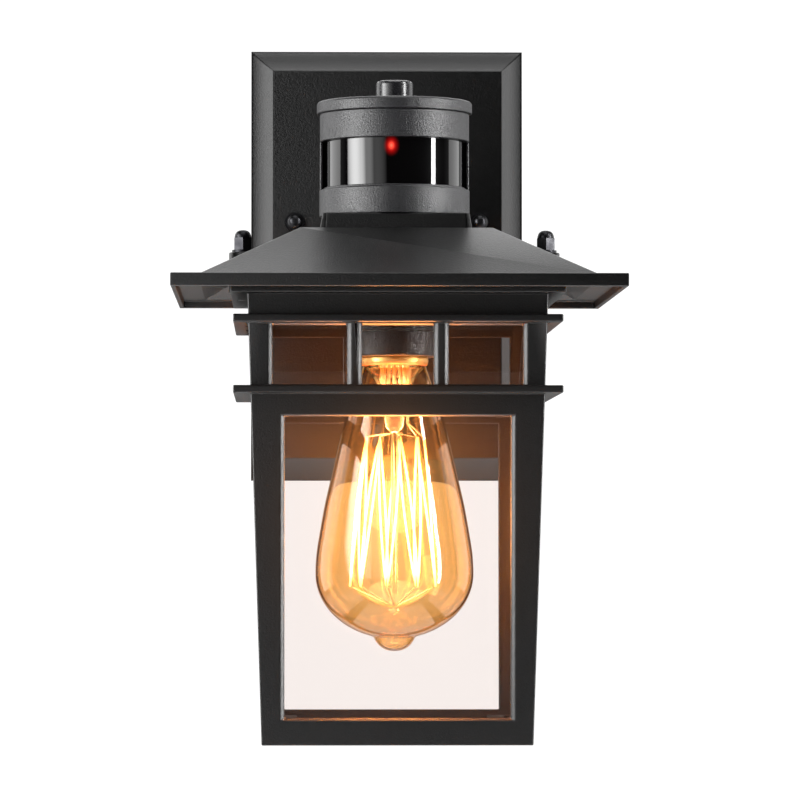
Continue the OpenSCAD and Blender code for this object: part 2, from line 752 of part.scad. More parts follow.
// Wires through the stem: one to the contact, one to the cap, ending at the filament's two ends
module bulb_lead_wires() {
    top_ends = [hook(filament_top, 0), hook(filament_top, filament_hooks - 1)];
    color(steel) at_head() for (i = [0, 1]) {
        foot = [i == 0 ? 5.6 : 5, i == 0 ? 0.8 : -1.4, -90];
        rod([i == 0 ? 6.6 : 6, i == 0 ? 0.8 : -1.4, -67], foot, wire_r);
        rod(foot, [top_ends[i].x - 0.8, top_ends[i].y, top_ends[i].z + 0.6], wire_r);
    }
}

// The filament runs up and down between the hooks, in strands that lean a little sideways
module filament() {
    color("orange") at_head() for (i = [0 : filament_hooks - 2]) {
        rod(hook(filament_top, i + 0.1), hook(filament_bottom, i + 0.4), wire_r);
        rod(hook(filament_bottom, i + 0.6), hook(filament_top, i + 0.9), wire_r);
    }
}

module filament_supports() {
    color(steel) at_head() {
        for (i = [1 : filament_hooks - 2])
            rod(hook([2.6, filament_top.y + 1.6], i), hook([filament_top.x - 0.7, filament_top.y + 0.4], i), 0.2);
        for (i = [0 : filament_hooks - 2])
            rod(hook([1.5, rod_end + 1], i + 0.5),
                hook([filament_bottom.x - 0.6, filament_bottom.y - 0.6], i + 0.5), 0.2);
    }
}

// ---- Motion sensor ----

module sensor_plinth() {
    lean = (plinth_w - plinth_top_w) / 2;
    color(coat) at_head() difference() {
        intersection() {
            frustum(plinth_w, plinth_w, roof_top, plinth_top_w, plinth_top_w, plinth_top);
            rotate([0, 0, 45]) {
                diagonal = (plinth_w - plinth_corner) * sqrt(2);
                frustum(diagonal, diagonal, roof_top, diagonal - 2 * lean, diagonal - 2 * lean, plinth_top);
            }
        }
        block(plinth_w - 6, plinth_w - 6, roof_top - cut, plinth_top - base_floor);
        cylinder(r = nipple_hole, h = 60, center = true);
        translate([wire_pass.x, wire_pass.y, 0]) cylinder(r = wire_pass_r, h = 60, center = true);
        both_sides(screw_x) cylinder(r = 1.7, h = 60, center = true);
    }
}

module sensor_base() {
    color(grey_coat) at_head() difference() {
        union() {
            tube(sensor_r, ring_in, plinth_top, base_top);
            translate([0, 0, plinth_top]) cylinder(r = sensor_r, h = base_floor);
            tube(ring_in + 1, ring_in, base_top - cut, base_top + lens_lip);
            intersection() {
                tube(top_ring_r, top_ring_r - 1.1, base_top - cut, hood_top);
                translate([-sensor_r, 0, 0]) cube([2 * sensor_r, sensor_r, hood_top]);
            }
            both_sides(screw_x) translate([0, 0, plinth_top]) cylinder(r = 3.5, h = 7);
        }
        translate([0, 0, plinth_top - cut]) cylinder(r = nipple_hole, h = base_floor + 2 * cut);
        translate([wire_pass.x, wire_pass.y, plinth_top - cut]) cylinder(r = wire_pass_r, h = base_floor + 2 * cut);
        both_sides(screw_x) translate([0, 0, plinth_top - cut]) cylinder(r = 1.3, h = 7);
    }
}

module sensor_lens() {
    color(smoke) at_head() tube(lens_r, lens_r - 1.8, plinth_top + base_floor, top_ring_top - spigot - 0.2);
}

module sensor_top() {
    color(grey_coat) at_head() tube(top_ring_r, ring_in, hood_top, top_ring_top);
}

module sensor_cap() {
    r = sensor_cap_r;
    top = sensor_top_z;
    color(grey_coat) at_head() {
        rotate_extrude() polygon([
            [button_r + gap, cap_under], [button_r + gap, top], [r - 1, top], [r - 0.3, top - 0.3], [r, top - 1],
            [r, top_ring_top], [ring_in - 0.1, top_ring_top], [ring_in - 0.1, top_ring_top - spigot],
            [ring_in - 2, top_ring_top - spigot], [ring_in - 2, cap_under]
        ]);
        for (a = [30 : 120 : 270]) rotate([0, 0, a]) translate([11, 0, switch_z])
            cylinder(r = 1.5, h = cap_under + 0.5 - switch_z);
    }
}

module mode_button() {
    top = button_top;
    flange_z = cap_under - gap;
    color(smoke) at_head() rotate_extrude() polygon([
        [0, switch_z + 4.8], [2.4, switch_z + 4.8], [2.4, flange_z - 1.5], [button_flange_r, flange_z - 1.5],
        [button_flange_r, flange_z], [button_r, flange_z], [button_r, top - 1.4], [button_r - 0.15, top - 0.8],
        [button_r - 0.6, top - 0.3], [button_r - 1.3, top - 0.05], [button_r - 2, top], [0, top]
    ]);
}

module button_spring() {
    turns = 5;
    steps = 16 * turns;
    low = switch_z + 0.4;
    high = cap_under - gap - 1.5 - 0.4;
    color(steel) at_head() swept([
        for (i = [0 : steps]) [5.3 * cos(360 * i / 16), 5.3 * sin(360 * i / 16), low + (high - low) * i / steps]
    ], 0.3, [0, 0, 1]);
}

module switch_board() {
    color("darkgreen") at_head() translate([0, 0, board_top]) cylinder(r = 13, h = board_t);
}

module tact_switch() {
    color("#2c2c2e") at_head() {
        block(6, 6, switch_z, switch_z + 2);
        translate([0, 0, switch_z + 1.5]) cylinder(r = 1.6, h = 1.1);
    }
}

module sensor_board() {
    color("darkgreen") at_head() translate([-18, board_y, plinth_top + base_floor + 1])
        cube([36, board_t, 27]);
}

// Places children on the front of the upright board, Z pointing forwards
module on_board(x, z) {
    at_head() translate([x, board_y, z]) rotate([90, 0, 0]) children();
}

module motion_detector() {
    color(steel) on_board(0, 8) {
        cylinder(r = 4.6, h = 0.6);
        cylinder(r = 4.1, h = 4);
    }
}

module indicator_led() {
    color("red") on_board(-1.9, 20.5) {
        cylinder(r = 1.9, h = 0.8);
        cylinder(r = 1.5, h = 3.4);
        translate([0, 0, 3.4]) sphere(r = 1.5);
    }
}

module light_sensor() {
    color("#c46a3a") on_board(10, 17) cylinder(r = 2.5, h = 1.8);
}

module relay() {
    color("#2457a0") at_head() translate([-18, board_y + board_t, 2]) cube([13, 16, 15]);
}

module capacitor() {
    color("#26262e") at_head() translate([12.5, board_y + board_t, 7]) rotate([-90, 0, 0]) cylinder(r = 5, h = 14);
}

module sensor_screws() {
    color(steel) at_head() both_sides(screw_x) {
        translate([0, 0, plinth_top - base_floor - 2]) cylinder(r = 2.9, h = 2);
        translate([0, 0, plinth_top - base_floor - 0.5]) cylinder(r = 1.25, h = 8);
    }
}

backplate();
wall_gasket();
mounting_bracket();
bracket_studs();
bracket_nuts();
plate_washers();
plate_cap_nuts();
ground_screw();
wire_connectors();
line_lead();
neutral_lead();
ground_lead();
arm();
arm_screws();
roof();
roof_grommet();
threaded_nipple();
nipple_nuts();
cage_studs();
roof_washers();
roof_cap_nuts();
cage_frame();
glass_front();
glass_back();
glass_left();
glass_right();
glass_clips();
socket_cup();
socket_skirt();
socket_insulator();
screw_shell();
centre_contact();
socket_live_lead();
socket_neutral_lead();
bulb_glass();
bulb_cap();
bulb_insulator();
bulb_contact();
bulb_stem();
bulb_lead_wires();
filament();
filament_supports();
sensor_plinth();
sensor_base();
sensor_lens();
sensor_top();
sensor_cap();
mode_button();
button_spring();
switch_board();
tact_switch();
sensor_board();
motion_detector();
indicator_led();
light_sensor();
relay();
capacitor();
sensor_screws();
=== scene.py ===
"""Outdoor wall lantern with a motion sensor and a filament bulb: its looks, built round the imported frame."""

import json
import math

import bpy
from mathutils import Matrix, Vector

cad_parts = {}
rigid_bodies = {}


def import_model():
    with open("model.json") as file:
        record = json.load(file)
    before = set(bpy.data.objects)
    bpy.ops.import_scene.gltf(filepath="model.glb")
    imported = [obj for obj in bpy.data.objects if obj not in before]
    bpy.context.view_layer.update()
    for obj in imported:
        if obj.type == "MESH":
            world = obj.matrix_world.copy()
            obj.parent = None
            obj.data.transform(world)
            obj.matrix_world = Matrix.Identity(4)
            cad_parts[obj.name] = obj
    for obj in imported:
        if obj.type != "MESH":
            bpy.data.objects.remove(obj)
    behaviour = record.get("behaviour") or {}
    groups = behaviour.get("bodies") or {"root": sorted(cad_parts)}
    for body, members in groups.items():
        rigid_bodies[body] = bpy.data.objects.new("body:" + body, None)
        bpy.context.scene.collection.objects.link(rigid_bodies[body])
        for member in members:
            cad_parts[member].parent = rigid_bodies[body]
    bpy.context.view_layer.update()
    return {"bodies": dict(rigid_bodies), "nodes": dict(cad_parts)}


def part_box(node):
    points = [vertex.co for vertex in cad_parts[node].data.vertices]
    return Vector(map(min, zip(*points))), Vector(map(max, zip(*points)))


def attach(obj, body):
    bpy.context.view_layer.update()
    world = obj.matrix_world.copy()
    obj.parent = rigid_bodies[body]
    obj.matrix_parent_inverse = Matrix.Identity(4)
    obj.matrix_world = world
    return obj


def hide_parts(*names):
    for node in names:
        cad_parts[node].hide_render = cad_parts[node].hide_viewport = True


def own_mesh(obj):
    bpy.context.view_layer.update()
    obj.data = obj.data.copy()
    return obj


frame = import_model()
NODES = frame["nodes"]
SCENE = bpy.context.scene
MM = 0.001
HEAD_Y = -0.151  # the upright axis of the lantern's head, in metres
HEAD_Y_MM = HEAD_Y / MM
CLEAR = (1, 1, 1)


# ---------------------------------------------------------------- node helpers
def material(name):
    """An empty node material and its tree."""
    made = bpy.data.materials.new(name)
    made.use_nodes = True
    made.node_tree.nodes.clear()
    return made, made.node_tree


def add(tree, kind, settings=None, **inputs):
    """Adds a node. settings are its properties; inputs are socket values, or sockets to link from.

    An input is named as its socket is, with _ for a space, or i0, i1 and so on by its place.
    """
    made = tree.nodes.new("ShaderNode" + kind)
    for key, value in (settings or {}).items():
        setattr(made, key, value)
    for key, value in inputs.items():
        by_place = key[0] == "i" and key[1:].isdigit()
        socket = made.inputs[int(key[1:]) if by_place else key.replace("_", " ")]
        if isinstance(value, bpy.types.NodeSocket):
            tree.links.new(value, socket)
        elif isinstance(value, tuple) and len(value) == 3 and socket.type == "RGBA":
            socket.default_value = (*value, 1)
        else:
            socket.default_value = value
    return made


def finish_material(tree, surface, volume=None):
    out = tree.nodes.new("ShaderNodeOutputMaterial")
    tree.links.new(surface, out.inputs["Surface"])
    if volume is not None:
        tree.links.new(volume, out.inputs["Volume"])


def calc(tree, operation, first, second):
    return add(tree, "Math", {"operation": operation}, i0=first, i1=second).outputs[0]


def noise(tree, size_mm, detail=2.0, roughness=0.5):
    """Noise in the part's own space, with features about size_mm across."""
    where = add(tree, "TexCoord").outputs["Object"]
    scale = 1 / (size_mm * MM)
    return add(tree, "TexNoise", Vector=where, Scale=scale, Detail=detail, Roughness=roughness).outputs["Fac"]


def remap(tree, value, low, high, to_low, to_high):
    made = add(tree, "MapRange", Value=value, From_Min=low, From_Max=high, To_Min=to_low, To_Max=to_high)
    return made.outputs[0]


def spread(tree, grain, low, high):
    """Noise as a value from low to high. Noise itself seldom leaves 0.3 to 0.7."""
    return remap(tree, grain, 0.3, 0.7, low, high)


def blend_colours(tree, factor, first, second):
    """A colour between first and second."""
    return add(tree, "Mix", {"data_type": "RGBA"}, i0=factor, i6=first, i7=second).outputs[2]


def bump(tree, height, depth_mm, strength=1.0, normal=None):
    made = add(tree, "Bump", Strength=strength, Distance=depth_mm * MM, Height=height)
    if normal is not None:
        tree.links.new(normal, made.inputs["Normal"])
    return made.outputs[0]


# ---------------------------------------------------------------- finishes
def powder_coat(name, dark, light, rough, grain_mm, depth_mm):
    """Textured powder coat: a sandy grain, with a little drift in tone and sheen."""
    made, tree = material(name)
    grain = noise(tree, grain_mm, 3.0, 0.6)
    speck = noise(tree, grain_mm * 0.45)
    drift = noise(tree, 38)
    tone = calc(tree, "MULTIPLY", spread(tree, grain, 0, 1), spread(tree, drift, 0.7, 1.0))
    p = add(tree, "BsdfPrincipled", Base_Color=blend_colours(tree, tone, dark, light),
            Roughness=spread(tree, grain, rough - 0.03, rough + 0.03),
            Normal=bump(tree, speck, depth_mm * 0.5, 0.8, bump(tree, grain, depth_mm)))
    finish_material(tree, p.outputs[0])
    return made


def metal(name, colour, tarnish, rough, blotch_mm=6):
    """Bare or plated metal with cloudy tarnish and fine tool marks."""
    made, tree = material(name)
    cloud = noise(tree, blotch_mm, 4.0, 0.55)
    marks = noise(tree, 0.4)
    p = add(tree, "BsdfPrincipled", Metallic=1.0,
            Base_Color=blend_colours(tree, remap(tree, cloud, 0.35, 0.7, 0, 1), colour, tarnish),
            Roughness=spread(tree, cloud, rough - 0.06, rough + 0.1), Normal=bump(tree, marks, 0.02, 0.5))
    finish_material(tree, p.outputs[0])
    return made


def moulded(name, colour, second, rough, grain_mm=0.6, depth_mm=0.03, spec=0.5, coat=0.0):
    """Moulded plastic, rubber or ceramic with a faint grain and slightly uneven colour."""
    made, tree = material(name)
    cloud = noise(tree, 9, 3.0, 0.5)
    grain = noise(tree, grain_mm)
    p = add(tree, "BsdfPrincipled", Specular_IOR_Level=spec, Coat_Weight=coat,
            Base_Color=blend_colours(tree, remap(tree, cloud, 0.35, 0.65, 0, 1), colour, second),
            Roughness=spread(tree, grain, rough - 0.05, rough + 0.05), Normal=bump(tree, grain, depth_mm, 0.6))
    finish_material(tree, p.outputs[0])
    return made


def pane(name, tint):
    """Flat clear glass: a faint tint, and reflections that grow towards grazing, alike on both faces."""
    made, tree = material(name)
    ripple = bump(tree, noise(tree, 45, 1.0, 0.4), 0.02, 0.35)
    through = add(tree, "BsdfTransparent", Color=tint).outputs[0]
    shiny = add(tree, "BsdfGlossy", Color=CLEAR, Roughness=0.012, Normal=ripple).outputs[0]
    facing = add(tree, "LayerWeight", Blend=0.5, Normal=ripple).outputs["Facing"]
    edge = remap(tree, calc(tree, "POWER", facing, 5.0), 0.0, 1.0, 0.04, 1.0)
    finish_material(tree, add(tree, "MixShader", i0=edge, i1=through, i2=shiny).outputs[0])
    return made


def blown_glass(name, absorb, density):
    """Coloured blown glass: it bends light, darkens with depth, and lets the lamp through unbent."""
    made, tree = material(name)
    wobble = bump(tree, noise(tree, 22, 1.0, 0.4), 0.05, 0.25)
    glass = add(tree, "BsdfGlass", Color=CLEAR, Roughness=0.0, IOR=1.46, Normal=wobble).outputs[0]
    unbent = add(tree, "BsdfTransparent", Color=CLEAR).outputs[0]
    rays = add(tree, "LightPath").outputs
    lamp = calc(tree, "MAXIMUM", rays["Is Shadow Ray"], rays["Is Diffuse Ray"])
    inside = add(tree, "VolumeAbsorption", Color=absorb, Density=density).outputs[0]
    finish_material(tree, add(tree, "MixShader", i0=lamp, i1=glass, i2=unbent).outputs[0], inside)
    return made


def glow(name, colour, strength, body_colour, heights_mm=None):
    """A hot or lit piece, a little uneven along it.

    heights_mm, where given, are its top, where it is hot from, where it is hot to, and its foot:
    it cools from the middle two towards the outer two.
    """
    made, tree = material(name)
    level = spread(tree, noise(tree, 5), 0.85 * strength, 1.15 * strength)
    if heights_mm:
        height = add(tree, "SeparateXYZ", Vector=add(tree, "TexCoord").outputs["Object"]).outputs["Z"]
        top, hot_top, hot_foot, foot = (z * MM for z in heights_mm)
        for cold, hot, share in ((top, hot_top, 0.12), (foot, hot_foot, 0.4)):
            level = calc(tree, "MULTIPLY", level, remap(tree, height, cold, hot, share, 1))
    p = add(tree, "BsdfPrincipled", Base_Color=body_colour, Roughness=0.4, Emission_Color=colour,
            Emission_Strength=level)
    finish_material(tree, p.outputs[0])
    return made


LED_AT = Vector((-1.9 * MM, -178.8 * MM, 20.5 * MM))
LED_SHAPE = Vector((1.2, 1, 0.92))  # the painted glow on the lens is taller than it is wide


def lens_with_painted_glow(name):
    """Smoked infrared lens: nearly black and glossy, with the red LED's glow painted on it as emission, a core
    and a halo round where the LED sits behind it.
    """
    made, tree = material(name)
    where = add(tree, "TexCoord").outputs["Object"]
    where = add(tree, "VectorMath", {"operation": "MULTIPLY"}, i0=where, i1=LED_SHAPE).outputs[0]
    away = add(tree, "VectorMath", {"operation": "DISTANCE"}, i0=where, i1=LED_AT * LED_SHAPE).outputs["Value"]
    # painted glow: emission in a bright red core and a fading halo round the LED's place, standing in for the
    # LED's light shining through the lens
    core = remap(tree, away, 0.3 * MM, 2.1 * MM, 1.0, 0.0)
    halo = calc(tree, "POWER", remap(tree, away, 0.0, 4.4 * MM, 1.0, 0.0), 2.2)
    haze = spread(tree, noise(tree, 14), 0.03, 0.06)
    p = add(tree, "BsdfPrincipled", Base_Color=(0.0008, 0.0007, 0.0008), Roughness=haze, IOR=1.52,
            Emission_Color=blend_colours(tree, core, (0.62, 0.004, 0.004), (1.0, 0.09, 0.05)),
            Emission_Strength=calc(tree, "MULTIPLY", halo, 2.4))
    finish_material(tree, p.outputs[0])
    return made


FILAMENT_HEIGHTS = (-95, -110, -149, -156)
# By material slot. Two colours are those that the finish wanders between; the number after them is roughness.
FINISHES = {
    "black_coat": powder_coat(
        "powder_black", (0.003, 0.003, 0.0031), (0.0065, 0.0065, 0.0067), 0.31, 0.8, 0.11),
    "grey_coat": powder_coat("powder_sand", (0.002, 0.002, 0.0023), (0.017, 0.017, 0.019), 0.30, 0.6, 0.2),
    "black_nut": metal("nut_black", (0.030, 0.030, 0.032), (0.018, 0.018, 0.020), 0.34),
    "zinc_steel": metal("zinc", (0.62, 0.63, 0.64), (0.48, 0.47, 0.42), 0.34),
    "green_screw": moulded("screw_green", (0.02, 0.16, 0.05), (0.03, 0.20, 0.07), 0.35),
    "gasket_foam": moulded("foam", (0.020, 0.020, 0.021), (0.035, 0.035, 0.036), 0.9, 0.8, 0.25, 0.2),
    "grommet_rubber": moulded("rubber", (0.012, 0.012, 0.013), (0.02, 0.02, 0.02), 0.65),
    "connector_plastic": moulded("connector", (0.60, 0.13, 0.02), (0.68, 0.17, 0.03), 0.42),
    "black_lead": moulded("lead_black", (0.012, 0.012, 0.013), (0.02, 0.02, 0.02), 0.42),
    "white_lead": moulded("lead_white", (0.66, 0.65, 0.61), (0.58, 0.57, 0.52), 0.42),
    "green_lead": moulded("lead_green", (0.03, 0.20, 0.06), (0.04, 0.25, 0.08), 0.42),
    "red_lead": moulded("lead_red", (0.42, 0.02, 0.02), (0.50, 0.03, 0.02), 0.42),
    "pane_glass": pane("pane", (0.992, 0.971, 0.962)),
    "socket_ceramic": moulded("ceramic", (0.66, 0.64, 0.60), (0.55, 0.53, 0.49), 0.3, 0.8, 0.03),
    "brass": metal("brass", (0.86, 0.56, 0.18), (0.70, 0.40, 0.12), 0.38),
    "amber_glass": blown_glass("amber", (0.91, 0.63, 0.09), 1100),
    "black_glass": moulded("base_glass", (0.010, 0.009, 0.010), (0.016, 0.015, 0.016), 0.12, coat=0.4),
    "solder": metal("solder", (0.60, 0.59, 0.57), (0.42, 0.41, 0.40), 0.38, 2),
    "stem_glass": blown_glass("stem", (0.96, 0.90, 0.80), 30),
    "nickel_wire": metal("nickel", (0.62, 0.60, 0.55), (0.45, 0.42, 0.37), 0.3, 3),
    "filament_wire": glow("filament", (1.0, 0.56, 0.18), 20.0, (0.03, 0.02, 0.02), FILAMENT_HEIGHTS),
    "smoked_lens": lens_with_painted_glow("lens"),
    "button_plastic": moulded("button", (0.006, 0.006, 0.007), (0.010, 0.010, 0.011), 0.25, 0.9, 0.006),
    "spring_steel": metal("spring", (0.55, 0.55, 0.54), (0.40, 0.39, 0.37), 0.3, 2),
    "circuit_board": moulded("board", (0.02, 0.12, 0.04), (0.03, 0.16, 0.06), 0.4),
    "switch_body": moulded("switch", (0.02, 0.02, 0.02), (0.03, 0.03, 0.03), 0.5),
    "detector_can": metal("can", (0.60, 0.59, 0.55), (0.45, 0.44, 0.40), 0.3, 3),
    "red_led": glow("led", (1.0, 0.05, 0.02), 6.0, (0.5, 0.02, 0.02)),
    "photocell": moulded("cell", (0.35, 0.12, 0.05), (0.45, 0.18, 0.07), 0.3),
    "relay_case": moulded("relay", (0.02, 0.05, 0.22), (0.03, 0.06, 0.28), 0.35),
    "capacitor_sleeve": moulded("sleeve", (0.02, 0.02, 0.025), (0.03, 0.03, 0.04), 0.3),
}

for node in NODES.values():
    for held in node.material_slots:
        held.material = FINISHES[held.material.name.split(".")[0]]


# ---------------------------------------------------------------- softened edges on the CAD parts
WELD_WITHIN = 1e-6
SHARP = math.radians(32)
ROUND_STEPS = 2
NORMAL_WEIGHT = 60
SOFTENED = {  # how far in mm each part's edges are rounded
    "backplate": 0.5, "roof": 0.45, "cage_frame": 0.5, "sensor_plinth": 0.5, "sensor_base": 0.35,
    "sensor_top": 0.4, "sensor_cap": 0.45, "socket_cup": 0.5, "socket_skirt": 0.35, "arm": 0.7,
}


def soften(o, width_mm):
    """Welds a CAD part's facets and rounds its sharp edges by width_mm, as a cast and coated edge is."""
    weld = o.modifiers.new("weld", "WELD")
    weld.merge_threshold = WELD_WITHIN
    rounding = o.modifiers.new("round", "BEVEL")
    rounding.width = width_mm * MM
    rounding.segments = ROUND_STEPS
    rounding.limit_method = "ANGLE"
    rounding.angle_limit = SHARP
    rounding.miter_outer = "MITER_SHARP"
    rounding.use_clamp_overlap = False
    rounding.loop_slide = False
    for face in o.data.polygons:
        face.use_smooth = True
    normals = o.modifiers.new("normals", "WEIGHTED_NORMAL")
    normals.weight = NORMAL_WEIGHT
    normals.keep_sharp = False


for name, width in SOFTENED.items():
    soften(NODES[name], width)


# ---------------------------------------------------------------- mesh helpers
def smooth_line(points, steps):
    """A Catmull-Rom curve through points, which are tuples of any length."""
    line, last = [], len(points) - 1
    for i in range(last):
        before, start, end, after = (points[max(0, min(last, i + k))] for k in (-1, 0, 1, 2))
        for t in (k / steps for k in range(steps)):
            line.append(tuple(
                0.5 * (2 * q + (r - p) * t + (2 * p - 5 * q + 4 * r - u) * t**2
                       + (3 * q - p - 3 * r + u) * t**3)
                for p, q, r, u in zip(before, start, end, after)))
    return line + [tuple(points[last])]


def add_piece(name, shape, slot, body, *nodes):
    """A smooth mesh of vertices in metres and faces, which rides on body and stands for nodes."""
    vertices, faces = shape
    mesh = bpy.data.meshes.new(name)
    mesh.from_pydata(vertices, [], faces)
    mesh.update()
    for face in mesh.polygons:
        face.use_smooth = True
    made = bpy.data.objects.new(name, mesh)
    SCENE.collection.objects.link(made)
    mesh.materials.append(FINISHES[slot])
    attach(made, body)
    if nodes:
        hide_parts(*nodes)
    return made


def lathe(outline, sides=144):
    """Vertices and faces of a closed outline of (radius, height) in mm turned round the head's axis."""
    vertices, faces, rings = [], [], []
    for r, z in outline:
        if r < 1e-4:  # on the axis, where one vertex does for the whole ring
            rings.append([len(vertices)] * sides)
            vertices.append((0, HEAD_Y, z * MM))
            continue
        rings.append(list(range(len(vertices), len(vertices) + sides)))
        for k in range(sides):
            a = 2 * math.pi * k / sides
            vertices.append((r * MM * math.cos(a), HEAD_Y + r * MM * math.sin(a), z * MM))
    for i, ring in enumerate(rings):
        below = rings[(i + 1) % len(rings)]
        for k in range(sides):
            n = (k + 1) % sides
            corners = list(dict.fromkeys((ring[k], ring[n], below[n], below[k])))
            if len(corners) > 2:
                faces.append(corners[::-1])
    return vertices, faces


def wire(path, radius_mm, sides=10):
    """Vertices and faces of a closed round wire along path, in mm."""
    vertices, faces = [], []
    across = Vector((0.31, 0.17, 0.93))  # any direction that no path follows
    for i, point in enumerate(path):
        along = (Vector(path[min(i + 1, len(path) - 1)]) - Vector(path[max(i - 1, 0)])).normalized()
        u = along.cross(across).normalized()
        v = along.cross(u)
        for k in range(sides):
            a = 2 * math.pi * k / sides
            vertices.append(tuple((Vector(point) + radius_mm * (math.cos(a) * u + math.sin(a) * v)) * MM))
    for i in range(len(path) - 1):
        here, ahead = i * sides, (i + 1) * sides
        for k in range(sides):
            n = (k + 1) % sides
            faces.append((here + k, here + n, ahead + n, ahead + k))
    faces.append(tuple(range(sides - 1, -1, -1)))
    faces.append(tuple(range((len(path) - 1) * sides, len(path) * sides)))
    return vertices, faces


def joined(shapes):
    """Several (vertices, faces) as one."""
    vertices, faces = [], []
    for more_vertices, more_faces in shapes:
        faces += [tuple(k + len(vertices) for k in face) for face in more_faces]
        vertices += more_vertices
    return vertices, faces


def round_head(radius, angle, z):
    """A point in mm at radius and angle round the head's axis."""
    return Vector((radius * math.cos(angle), HEAD_Y_MM + radius * math.sin(angle), z))


# ---------------------------------------------------------------- round pieces, finer than their CAD nodes
# Outline of the bulb in mm, (radius, height), from its neck down to its tip.
BULB_R, WIDEST, DOME_H, GLASS_T = 32, -151, 26.5, 0.9
NECK = [(12.9, -64.5), (13, -67), (14.8, -72.6), (20.2, -88.8), (25.9, -113), (28.4, -124),
        (30.35, -135), (31.4, -141.5), (31.86, -146.5), (BULB_R, WIDEST)]
DOME = [(BULB_R * math.cos(math.radians(a)), WIDEST - DOME_H * math.sin(math.radians(a)))
        for a in range(6, 73, 6)]
TIP = [(8.5, -176.8), (7.6, -178.3), (6.2, -180.1), (4.4, -181.4), (2.2, -182.2), (0, -182.4)]


def bulb_envelope():
    """The blown glass, of one thickness all over."""
    outer = smooth_line(NECK + DOME + TIP, 5)
    inner = []
    for i, (r, z) in enumerate(outer):
        ahead, behind = outer[min(i + 1, len(outer) - 1)], outer[max(i - 1, 0)]
        along = Vector((ahead[0] - behind[0], ahead[1] - behind[1])).normalized()
        inner.append((max(r + along.y * GLASS_T, 0), z - along.x * GLASS_T))
    inner[-1] = (0, outer[-1][1] + GLASS_T)
    inner[0] = (outer[0][0] - GLASS_T, outer[0][1])
    add_piece("bulb_envelope", lathe(outer + inner[::-1]), "amber_glass", "bulb", "bulb_glass")


FILAMENT_HOOKS = 9
FILAMENT_TOP, FILAMENT_LOW = (12, -96), (18, -156)  # radius and height of the two rings of hooks
FILAMENT_R = 0.46
SPAN_STEPS = 14


def hook(ring, i):
    return round_head(ring[0], 2 * math.pi * i / FILAMENT_HOOKS, ring[1])


def filament_winding():
    """One long wire hung in a cage: up and down between the hooks, each span bowed by its own heat."""
    path = []
    for i in range(FILAMENT_HOOKS - 1):
        top, low, top_next = hook(FILAMENT_TOP, i), hook(FILAMENT_LOW, i + 0.5), hook(FILAMENT_TOP, i + 1)
        for start, end, turn in ((top, low, i), (low, top_next, i + 0.5)):
            bow = 0.7 + 0.5 * math.sin(2.3 * turn)
            drift = 1.3 + 0.4 * math.sin(1.7 * turn)
            for k in range(SPAN_STEPS):
                t = k / SPAN_STEPS
                at = start.lerp(end, t)
                out = Vector((at.x, at.y - HEAD_Y_MM, 0)).normalized()
                aside = Vector((-out.y, out.x, 0))
                path.append(at + (out * bow + aside * drift) * math.sin(math.pi * t))
    path.append(hook(FILAMENT_TOP, FILAMENT_HOOKS - 1))
    add_piece("filament_winding", wire(path, FILAMENT_R), "filament_wire", "bulb", "filament")


STEM_COLUMNS = 14
COLUMN_RING, COLUMN_R = 5.3, 0.62


def stem_columns():
    """The ring of pale columns between the cap and the flare of the stem."""
    shapes = []
    for k in range(STEM_COLUMNS):
        a = 2 * math.pi * (k + 0.5) / STEM_COLUMNS
        x, y = COLUMN_RING * math.cos(a), HEAD_Y_MM + COLUMN_RING * math.sin(a)
        shapes.append(wire([(x, y, -67.4), (x * 1.01, y, -70.5), (x * 1.06, y, -74.2)], COLUMN_R))
    add_piece("stem_columns", joined(shapes), "socket_ceramic", "bulb")


SPRING_TURNS, SPRING_R, SPRING_WIRE_R = 5, 5.3, 0.3
TURN_STEPS = 28


def spring_coil():
    """The mode button's spring, which on the real lantern shortens as the button goes down; here a fixed coil
    as tall as the CAD spring.
    """
    low, high = (corner[2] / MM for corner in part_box("button_spring"))
    rise = high - low - 2 * SPRING_WIRE_R
    steps = TURN_STEPS * SPRING_TURNS
    path = [round_head(SPRING_R, 2 * math.pi * k / TURN_STEPS, low + SPRING_WIRE_R + rise * k / steps)
            for k in range(steps + 1)]
    made = add_piece("spring_coil", wire(path, SPRING_WIRE_R), "spring_steel", "fixture", "button_spring")
    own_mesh(made)


bulb_envelope()
filament_winding()
stem_columns()
spring_coil()


# ---------------------------------------------------------------- camera
camera = bpy.data.objects.new("camera", bpy.data.cameras.new("camera"))
SCENE.collection.objects.link(camera)
SCENE.camera = camera
camera.data.sensor_width = 36
camera.data.lens = 216.9
camera.location = (-0.0464, -2.105, -0.1407)
camera.rotation_mode = "QUATERNION"
camera.rotation_quaternion = Vector((0.0249, 1, 0.0307)).to_track_quat("-Z", "Y")
camera.data.clip_start, camera.data.clip_end = 0.05, 60


# ---------------------------------------------------------------- floor and world
WHITE = 1.12  # the plain white surround, as bright as overexposed paper
FLOOR_Z, FLOOR_HALF = -0.45, 14
ROOM_FRONT, ROOM_BACK = 0.01, 0.35


def seen_directly(tree):
    """1 for what the camera sees, straight or through glass."""
    rays = add(tree, "LightPath").outputs
    return calc(tree, "MAXIMUM", rays["Is Camera Ray"], rays["Is Transmission Ray"])


